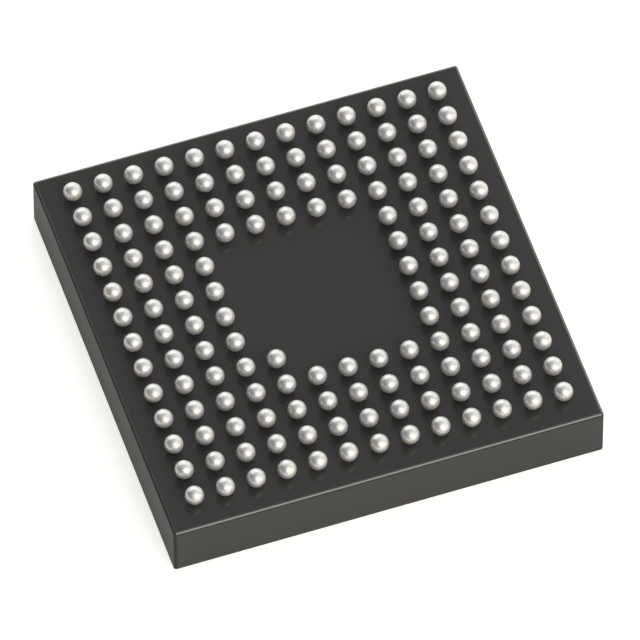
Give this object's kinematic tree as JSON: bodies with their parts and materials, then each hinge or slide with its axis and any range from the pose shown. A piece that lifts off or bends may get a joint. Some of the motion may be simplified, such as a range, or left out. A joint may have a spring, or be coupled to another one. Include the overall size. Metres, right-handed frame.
{
  "type": "microcontroller",
  "caption": "Square black microcontroller package lying on its marking face, with rows of silvery solder balls round an open middle for soldering to a circuit board.",
  "frame": {"origin": "centre of the marking face, on the surface that the package lies on", "axes": "+Z out of the ball side; the A1 corner is at -X, -Y; ball rows A to N run along +Y and columns 1 to 13 along +X"},
  "size_m": [0.007, 0.007, 0.0013],
  "materials": {
    "moulding_compound": "black filled epoxy, fine matte grain",
    "laminate": "black solder-resist face, satin",
    "solder": "satin silvery tin alloy",
    "copper": "plated copper",
    "gold_wire": "polished gold",
    "silicon": "polished silicon",
    "adhesive": "cured silver-filled film"
  },
  "bodies": {
    "root": {"mould_cap": "moulding_compound", "laminate": "laminate", "die_paddle": "copper", "die_attach": "adhesive", "silicon_die": "silicon", "bond_fingers_front": "copper", "bond_fingers_right": "copper", "bond_fingers_back": "copper", "bond_fingers_left": "copper", "bond_wires_front": "gold_wire", "bond_wires_right": "gold_wire", "bond_wires_back": "gold_wire", "bond_wires_left": "gold_wire", "ball_lands": "copper", "ball_row_a": "solder", "ball_row_b": "solder", "ball_row_c": "solder", "ball_row_d": "solder", "ball_row_e": "solder", "ball_row_f": "solder", "ball_row_g": "solder", "ball_row_h": "solder", "ball_row_j": "solder", "ball_row_k": "solder", "ball_row_l": "solder", "ball_row_m": "solder", "ball_row_n": "solder"}
  },
  "joints": []
}
